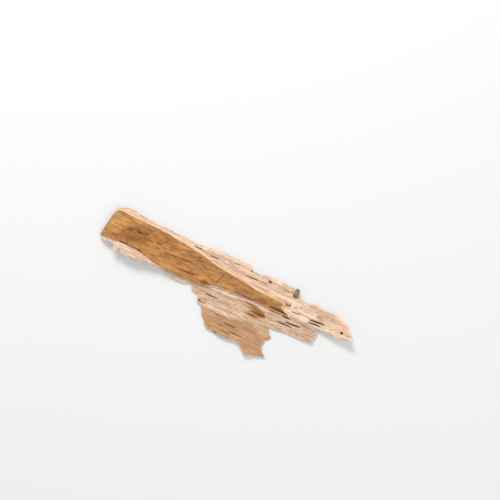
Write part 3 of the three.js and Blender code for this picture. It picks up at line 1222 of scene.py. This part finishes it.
class Graph:
    """The node tree of one material, with the few building blocks that the finishes use.

    Its place is the Object coordinate, swayed across the strip by BEND metres of slow noise, so
    that the grain is never dead straight.
    """

    def __init__(self, name: str) -> None:
        """Makes a new material with a Principled shader.

        Args:
            name: The material's name.
        """
        self.material = bpy.data.materials.new(name)
        self.material.use_nodes = True
        self.tree = self.material.node_tree
        self.shader = self.tree.nodes["Principled BSDF"]
        self.place = Value(self, self.node("ShaderNodeTexCoord").outputs["Object"])
        bend = (self.noise((62, 24, 30), 2, 6.4) - 0.5) * BEND
        sway = self.add("ShaderNodeCombineXYZ", inputs={1: bend})
        self.place = self.add("ShaderNodeVectorMath", {"operation": "ADD"}, {0: self.place, 1: sway})

    def node(self, kind: str, settings: dict | None = None,
             inputs: dict | None = None) -> bpy.types.Node:
        """Adds a node.

        Args:
            kind: The node's type.
            settings: Its properties, set first.
            inputs: Values or links, by socket name or number.

        Returns:
            The node.
        """
        node = self.tree.nodes.new(kind)
        for name, value in (settings or {}).items():
            setattr(node, name, value)
        for key, value in (inputs or {}).items():
            if isinstance(value, Value):
                self.tree.links.new(value.socket, node.inputs[key])
            else:
                node.inputs[key].default_value = value
        return node

    def add(self, kind: str, settings: dict | None = None, inputs: dict | None = None,
            output: int | str = 0) -> Value:
        """Adds a node and wraps one of its outputs."""
        return Value(self, self.node(kind, settings, inputs).outputs[output])

    def attribute(self, name: str) -> Value:
        """A vertex attribute of the piece."""
        return self.add("ShaderNodeAttribute", {"attribute_name": name}, output="Fac")

    def scaled(self, size: tuple[float, float, float], shift: float) -> Value:
        """The place in steps of this many millimetres, moved a little by shift."""
        steps = self.add("ShaderNodeVectorMath", {"operation": "MULTIPLY"},
                         {0: self.place, 1: tuple(1000 / s for s in size)})
        return self.add("ShaderNodeVectorMath", {"operation": "ADD"},
                        {0: steps, 1: (shift, 1.7 * shift, 0.4 * shift)})

    def noise(self, size: tuple[float, float, float], detail: float = 3.0, shift: float = 0.0,
              distortion: float = 0.0, slice_: Value | float = 0.0) -> Value:
        """Noise whose blobs are about this many millimetres long, wide and high.

        Args:
            size: Size of a blob on X, Y and Z, in millimetres.
            detail: Layers of finer noise.
            shift: Moves the noise, so that two alike differ.
            distortion: How far the noise bends its own pattern.
            slice_: Which slice of the noise, a step of one being a blob further.

        Returns:
            The noise, about a half on average.
        """
        return self.add("ShaderNodeTexNoise", {"noise_dimensions": "4D"},
                        {"Vector": self.scaled(size, shift), "W": slice_, "Scale": 1.0,
                         "Detail": detail, "Roughness": 0.6, "Distortion": distortion})

    def dashes(self, size: tuple[float, float, float], share: float, shift: float) -> Value:
        """Scattered spindles: the middles of cells, in a share of the cells picked at random.

        Args:
            size: Size of a cell on X, Y and Z, in millimetres.
            share: How many of the cells hold a spindle.
            shift: Moves the pattern, so that two alike differ.

        Returns:
            One in the middle of a spindle, nought outside.
        """
        cells = self.node("ShaderNodeTexVoronoi", {}, {"Vector": self.scaled(size, shift),
                                                       "Scale": 1.0, "Randomness": 1.0})
        distance = Value(self, cells.outputs["Distance"])
        picked = self.add("ShaderNodeSeparateColor",
                          inputs={0: Value(self, cells.outputs["Color"])})
        return (1 - distance.eased(0.12, 0.42)) * (1 - picked.eased(share - 0.05, share + 0.05))

    def mix(self, share: Value | float, low: Value | Colour, high: Value | Colour,
            blend: str = "MIX") -> Value:
        """Two colours mixed by a share, through a Mix node.

        Args:
            share: How much of the second colour.
            low: The first colour.
            high: The second colour.
            blend: The Mix node's way of blending.

        Returns:
            The mixed colour.
        """
        def opaque(colour: Value | Colour) -> Value | tuple:
            """A colour as a socket takes it."""
            return colour if isinstance(colour, Value) else (*colour, 1.0)
        return self.add("ShaderNodeMix", {"data_type": "RGBA", "blend_type": blend},
                        {0: share, 6: opaque(low), 7: opaque(high)}, output=2)

    def shade(self, share: Value, colour: Value, low: float, high: float) -> Value:
        """A colour multiplied by a grey that runs from low to high with share."""
        grey = self.mix(share, (low, low, low), (high, high, high))
        return self.mix(1.0, colour, grey, "MULTIPLY")


@dataclass(frozen=True)
class BarkFinish:
    """The finish of one leaf: its face, its marks, its laminated rim and its underside.

    Attributes:
        name: The material's name.
        deep: The darker of the face's two tones.
        fair: The lighter of them.
        tint: A third tone, in broad patches.
        tint_share: How much of the tint its patches take.
        streak: How softly the two tones pass into each other.
        streak_width: How wide their streaks are, in millimetres.
        films: How much the torn films differ in tone.
        furrow_painted_shade: How much painted shade darkens the face in the grain's furrows.
        blotch_shade: How much blotches change its tone.
        dash_shade: How much short dashes do.
        fibre_shade: How much fine fibres do.
        scar_shade: How much scattered scars do.
        scars: How many of the scars' cells hold one.
        scar_size: Size of a scar's cell in millimetres.
        spot_tone: The tone of the spots.
        spot_share: How much of it they take.
        spot_size: Their size in millimetres.
        edge_tone: The tone that the face takes near its edges.
        edge_share: How much of it.
        slit_and_shadow_tone: The tone inside a slit, and of the dark lines of painted shadow drawn as
            slits.
        halo_tone: The tone round one.
        gold_tone: The tone of the GOLD marks.
        bruise_and_shadow_tone: The tone of the BRUISE_AND_SHADOW marks, bruises and painted shadow.
        pale_tone: The tone of the PALE marks: pale patches, and some painted light and highlight.
        grey_tone: The tone of the GREY marks.
        ochre_tone: The tone of the OCHRE marks.
        rust_tone: The tone of the RUST marks.
        rim_fair: The lighter tone of the rim's laminae.
        rim_deep: The darker of them.
        below: The tone of the underside.
        roughness: How rough the surface is.
        bump: How strongly the fine relief shows.
    """

    name: str
    deep: Colour
    fair: Colour
    tint: Colour
    tint_share: float = 0.5
    streak: float = 0.2
    streak_width: float = 1.5
    films: float = 0.5
    furrow_painted_shade: float = 0.12
    blotch_shade: float = 0.05
    dash_shade: float = 0.1
    fibre_shade: float = 0.1
    scar_shade: float = 0.08
    scars: float = 0.3
    scar_size: tuple[float, float, float] = (6.5, 1.3, 3)
    spot_tone: Colour = (0.30, 0.14, 0.06)
    spot_share: float = 0.55
    spot_size: tuple[float, float, float] = (2.4, 1.1, 2.0)
    edge_tone: Colour = (0.92, 0.72, 0.53)
    edge_share: float = 0.45
    slit_and_shadow_tone: Colour = (0.060, 0.015, 0.001)
    halo_tone: Colour = (0.41, 0.17, 0.05)
    gold_tone: Colour = (0.31, 0.095, 0.006)
    bruise_and_shadow_tone: Colour = (0.265, 0.106, 0.034)
    pale_tone: Colour = (0.85, 0.645, 0.475)
    grey_tone: Colour = (0.40, 0.265, 0.165)
    ochre_tone: Colour = (0.545, 0.285, 0.095)
    rust_tone: Colour = (0.42, 0.185, 0.06)
    rim_fair: Colour = (0.90, 0.68, 0.49)
    rim_deep: Colour = (0.46, 0.26, 0.14)
    below: Colour = (0.78, 0.60, 0.45)
    roughness: float = 0.76
    bump: float = 0.5

    def make(self) -> bpy.types.Material:
        """Builds the material.

        The face runs between two tones by long streaks, with a tint in broad patches and a step
        of tone at each torn film; along each step runs a line of the edge tone, which on the pale
        leaves is a painted highlight. Painted shade darkens the grain's furrows, and short dashes
        and fine fibres darken and lighten it. Then come spots and the marks, some of which are
        painted shade and light, each broken up by noise, and the rim's laminae by depth.

        Returns:
            The material.
        """
        g = Graph(self.name)
        broad = g.noise((38, 15, 20), 3, 2.1)
        blotch = g.noise((9, 5, 6), 5, 15.7, 0.8)
        streak = g.noise((44, self.streak_width, 3), 5, 5.3, 0.4)
        dash = g.noise((7, 1.5, 3), 5, 9.9, 0.6)
        fibre = g.noise((14, 0.5, 1.0), 4, 8.7, 0.3)
        speck = g.noise((0.9, 0.5, 0.6), 3, 12.1)
        scars = g.dashes(self.scar_size, self.scars, 4.2)
        film = g.attribute("film") * FILMS
        furrow = g.attribute("furrow")

        ragged = (fibre - 0.5) + (dash - 0.5) * 0.9
        patchy = (blotch - 0.5) * 2.0 + (dash - 0.5)

        step = (film.floor() * 0.41 + 0.2).part()
        tone = streak.eased(0.5 - self.streak, 0.5 + self.streak) + (step - 0.5) * self.films
        colour = g.mix(tone.eased(0.0, 1.0), self.deep, self.fair)
        colour = g.mix(broad.eased(0.38, 0.68) * self.tint_share, colour, self.tint)
        colour = g.mix(g.attribute("underside").eased(0.4, 0.9), colour, self.below)
        # Along the high side of each torn film's step, a line of the edge tone: painted highlight where
        # that tone is pale.
        film_edge_highlight = 1 - film.part().eased(0.0, 0.16)
        colour = g.mix(film_edge_highlight * self.films * 0.5, colour, self.edge_tone)
        edge = g.attribute("edge") + ragged * 0.7
        colour = g.mix(edge.eased(0.45, 1.0) * self.edge_share, colour, self.edge_tone)
        # Marks; some bruise blots are painted shadow, and some pale strokes are painted light and
        # highlight.
        for kind, tone, broken, most in (
            (Mark.OCHRE, self.ochre_tone, ragged + patchy * 0.5, 0.85),
            (Mark.RUST, self.rust_tone, patchy, 0.8),
            (Mark.PALE, self.pale_tone, ragged, 0.85),
            (Mark.GREY, self.grey_tone, patchy, 0.9),
            (Mark.BRUISE_AND_SHADOW, self.bruise_and_shadow_tone, patchy, 0.85),
            (Mark.GOLD, self.gold_tone, ragged, 0.95),
        ):
            mark = g.attribute(kind.value)
            colour = g.mix((mark + broken * mark * 1.5).eased(0.1, 1.1) * most, colour, tone)
        spots = g.noise(self.spot_size, 3, 31.3).eased(0.64, 0.70)
        colour = g.mix(spots * self.spot_share, colour, self.spot_tone)
        # Painted shade in the grain's furrows; blotches, dashes, fibres, specks and scars vary the tone.
        for share, power in (
            (furrow, -self.furrow_painted_shade), (blotch, self.blotch_shade), (dash, self.dash_shade),
            (fibre, self.fibre_shade), (speck, 0.07), (scars, -self.scar_shade),
        ):
            colour = g.shade(share.eased(0.32, 0.68), colour, 1 - power, 1 + power)
        broken = (speck - 0.5) * 0.3 + (g.noise((2.4, 1.4, 2), 3, 18.2) - 0.5) * 0.6
        half = g.attribute("slit_half") + broken
        outside = g.attribute("slit_offset").size() - half
        # Slits, some of which are dark lines of painted shadow, each with its halo.
        colour = g.mix((1 - outside.eased(-0.1, 0.9)) * 0.5, colour, self.halo_tone)
        colour = g.mix(1 - outside.eased(-0.12, 0.1), colour, self.slit_and_shadow_tone)

        rim = g.attribute("rim")
        lamina = g.noise((30, 16, 400), 3, 3.3, slice_=g.attribute("depth") * 3.2)
        laminae = g.mix(lamina.eased(0.40, 0.58), self.rim_deep, self.rim_fair)
        laminae = g.shade(speck.eased(0.2, 0.6), laminae, 0.85, 1.08)
        side = rim.eased(0.01, 0.12) * (1 - rim.eased(0.93, 1.0))
        colour = g.mix(side, colour, laminae)

        relief = fibre * 0.5 + dash * 0.6 + speck * 0.3 - scars * 0.25 + outside.eased(-0.1, 0.1) * 0.6
        bumped = g.add("ShaderNodeBump", {}, {"Strength": self.bump, "Distance": BUMP_HEIGHT,
                                              "Height": relief}, output="Normal")
        rough = self.roughness + (dash - 0.5) * 0.25
        g.tree.links.new(colour.socket, g.shader.inputs["Base Color"])
        g.tree.links.new(rough.socket, g.shader.inputs["Roughness"])
        g.tree.links.new(bumped.socket, g.shader.inputs["Normal"])
        g.shader.inputs["Specular IOR Level"].default_value = SPECULAR
        return g.material


ORANGE = BarkFinish(
    "orange_inner_bark", deep=(0.41, 0.18, 0.056), fair=(0.56, 0.285, 0.095),
    tint=(0.46, 0.215, 0.085), streak=0.36, streak_width=2.8, films=0.1, furrow_painted_shade=0.14,
    blotch_shade=0.08, dash_shade=0.1, fibre_shade=0.07, scar_shade=0.16, scars=0.45,
    scar_size=(5.2, 0.75, 3), spot_share=0.35, edge_tone=(0.34, 0.16, 0.06), edge_share=0.35,
    slit_and_shadow_tone=(0.092, 0.023, 0.001), halo_tone=(0.37, 0.145, 0.035), grey_tone=(0.36, 0.225, 0.10),
    rust_tone=(0.36, 0.166, 0.068), pale_tone=(0.80, 0.57, 0.40),
    rim_fair=(0.95, 0.72, 0.51), rim_deep=(0.72, 0.47, 0.29), roughness=0.66,
)
PINK = BarkFinish(
    "pink_papery_bark", deep=(0.63, 0.40, 0.28), fair=(0.87, 0.635, 0.46), films=0.4,
    tint=(0.77, 0.52, 0.37), tint_share=0.35, grey_tone=(0.51, 0.355, 0.275),
    rim_deep=(0.58, 0.35, 0.21),
)
PINK_LOWER = BarkFinish(
    "pink_lower_bark", deep=(0.55, 0.345, 0.235), fair=(0.79, 0.56, 0.40), tint=(0.65, 0.42, 0.285),
    tint_share=0.35, ochre_tone=(0.40, 0.19, 0.055), gold_tone=(0.23, 0.08, 0.009),
)
CREAM = BarkFinish(
    "cream_streaked_bark", deep=(0.58, 0.38, 0.25), fair=(0.80, 0.59, 0.42), tint=(0.70, 0.47, 0.33),
    dash_shade=0.12, pale_tone=(0.80, 0.60, 0.43),
)
TAN = BarkFinish(
    "tan_flap_bark", deep=(0.47, 0.25, 0.13), fair=(0.60, 0.35, 0.195), tint=(0.54, 0.305, 0.17),
    streak=0.35, films=0.25, furrow_painted_shade=0.08, blotch_shade=0.06, dash_shade=0.05,
    fibre_shade=0.04, scar_shade=0.05, edge_share=0.25, spot_share=0.3,
    pale_tone=(0.70, 0.475, 0.285), ochre_tone=(0.58, 0.315, 0.13), rust_tone=(0.46, 0.205, 0.11),
)
WEATHERED = BarkFinish(
    "weathered_flake_bark", deep=(0.17, 0.11, 0.06), fair=(0.30, 0.215, 0.13),
    tint=(0.22, 0.17, 0.10), furrow_painted_shade=0.25, edge_tone=(0.33, 0.25, 0.16),
    pale_tone=(0.42, 0.33, 0.22), bruise_and_shadow_tone=(0.07, 0.04, 0.025), rim_fair=(0.30, 0.22, 0.14),
    rim_deep=(0.12, 0.075, 0.045), below=(0.30, 0.22, 0.15),
)
FIBRE = BarkFinish(
    "loose_fibres", deep=(0.66, 0.45, 0.30), fair=(0.86, 0.66, 0.48), tint=(0.80, 0.58, 0.41),
)
WHITE = BarkFinish(
    "white_outer_bark", deep=(0.66, 0.61, 0.54), fair=(0.84, 0.81, 0.75), tint=(0.74, 0.62, 0.50),
    below=(0.80, 0.77, 0.71), rim_fair=(0.86, 0.76, 0.63), rim_deep=(0.50, 0.36, 0.25),
    spot_tone=(0.10, 0.085, 0.07), spot_share=0.8, spot_size=(4.5, 3.2, 4), films=0.3,
)


# ---- the studio ---------------------------------------------------------------------------------


@dataclass
class Studio:
    """A pale floor, soft light and a camera that looks straight down."""

    strip: Strip
    view_width: float = 0.5
    lens: float = 85.0
    sensor: float = 36.0
    turn: float = 25.5
    aim: tuple[float, float] = (142.1, 39.0)
    floor_half: float = 3.0
    floor_tone: float = 0.92
    sky_strength: float = 0.61

    def camera(self) -> None:
        """Looks down on the strip, turned so that it runs down to the right."""
        data = bpy.data.cameras.new("camera")
        data.lens, data.sensor_width = self.lens, self.sensor
        camera = bpy.data.objects.new("camera", data)
        x, y, z = self.strip.to_metres(*(np.array([n]) for n in (*self.aim, self.strip.thickness)))[0]
        camera.location = (x, y, z + self.view_width * self.lens / self.sensor)
        camera.rotation_euler = (0, 0, math.radians(self.turn))
        bpy.context.scene.collection.objects.link(camera)
        bpy.context.scene.camera = camera

    def floor(self) -> None:
        """A wide plain floor under the strip."""
        half = self.floor_half
        corners = np.array([[-half, -half, 0], [half, -half, 0], [half, half, 0], [-half, half, 0]])
        floor = new_object("floor", corners, np.array([[0, 1, 2, 3]]))
        material = bpy.data.materials.new("pale_floor")
        material.use_nodes = True
        shader = material.node_tree.nodes["Principled BSDF"]
        shader.inputs["Base Color"].default_value = (*[self.floor_tone] * 3, 1)
        shader.inputs["Roughness"].default_value = 0.9
        shader.inputs["Specular IOR Level"].default_value = 0.1
        floor.data.materials.append(material)

    def light(self, name: str, place: tuple[float, float, float], size: float,
              power: float) -> None:
        """A square soft light that faces the strip.

        Args:
            name: Its name.
            place: Where it hangs, in metres.
            size: Its side, in metres.
            power: Its power, in watts.
        """
        data = bpy.data.lights.new(name, "AREA")
        data.size, data.energy = size, power
        light = bpy.data.objects.new(name, data)
        light.location = place
        light.rotation_mode = "QUATERNION"
        light.rotation_quaternion = light.location.to_track_quat("Z", "Y")
        bpy.context.scene.collection.objects.link(light)

    def build(self) -> None:
        """Sets up the whole studio."""
        self.camera()
        self.floor()
        turn = math.radians(self.turn)
        right = np.array([math.cos(turn), math.sin(turn)])
        up = np.array([-math.sin(turn), math.cos(turn)])
        key = -0.3 * right + 1.4 * up
        fill = 1.2 * right - 0.6 * up
        self.light("key", (*key, 1.15), 0.55, 17)
        self.light("fill", (*fill, 1.4), 1.4, 5)
        world = bpy.data.worlds.new("soft_sky")
        world.use_nodes = True
        sky = world.node_tree.nodes["Background"]
        sky.inputs["Color"].default_value = (1, 1, 1, 1)
        sky.inputs["Strength"].default_value = self.sky_strength
        bpy.context.scene.world = world
        bpy.context.scene.view_settings.view_transform = "Standard"


# ---- putting it together ------------------------------------------------------------------------


def dress(thing: bpy.types.Object, finish: BarkFinish) -> None:
    """Gives a piece its finish and its place in the frame."""
    thing.data.materials.append(finish.make())
    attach(thing, BODY)
    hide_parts(NODE)
    log.info("%s: %d faces", thing.name, len(thing.data.polygons))


def main() -> None:
    """Builds the bark leaf by leaf, then the studio."""
    logging.basicConfig(level=logging.INFO, format="%(name)s %(message)s")
    strip = Strip()
    inner, paper, lower, flap = InnerFace(strip), PaperLeaf(strip), LowerLeaf(strip), TornFlap(strip)
    fibres = TornFibres(strip, (
        (inner, "lower", 48, 200, 14),
        (paper, "lower", 6, 66, 26),
        (paper, "upper", 60, 266, 46),
        (paper, "lower", 238, 268, 10),
        (lower, "lower", 76, 236, 26),
        (flap, "lower", 136, 200, 12),
    ))
    for piece, finish in (
        (inner, ORANGE),
        (paper, PINK),
        (lower, PINK_LOWER),
        (StreakedLeaf(strip), CREAM),
        (flap, TAN),
        (OuterSkin(strip), WHITE),
        (Flake(strip), WEATHERED),
        (fibres, FIBRE),
    ):
        dress(piece.build(), finish)
    Studio(strip).build()


if __name__ == "__main__":
    main()
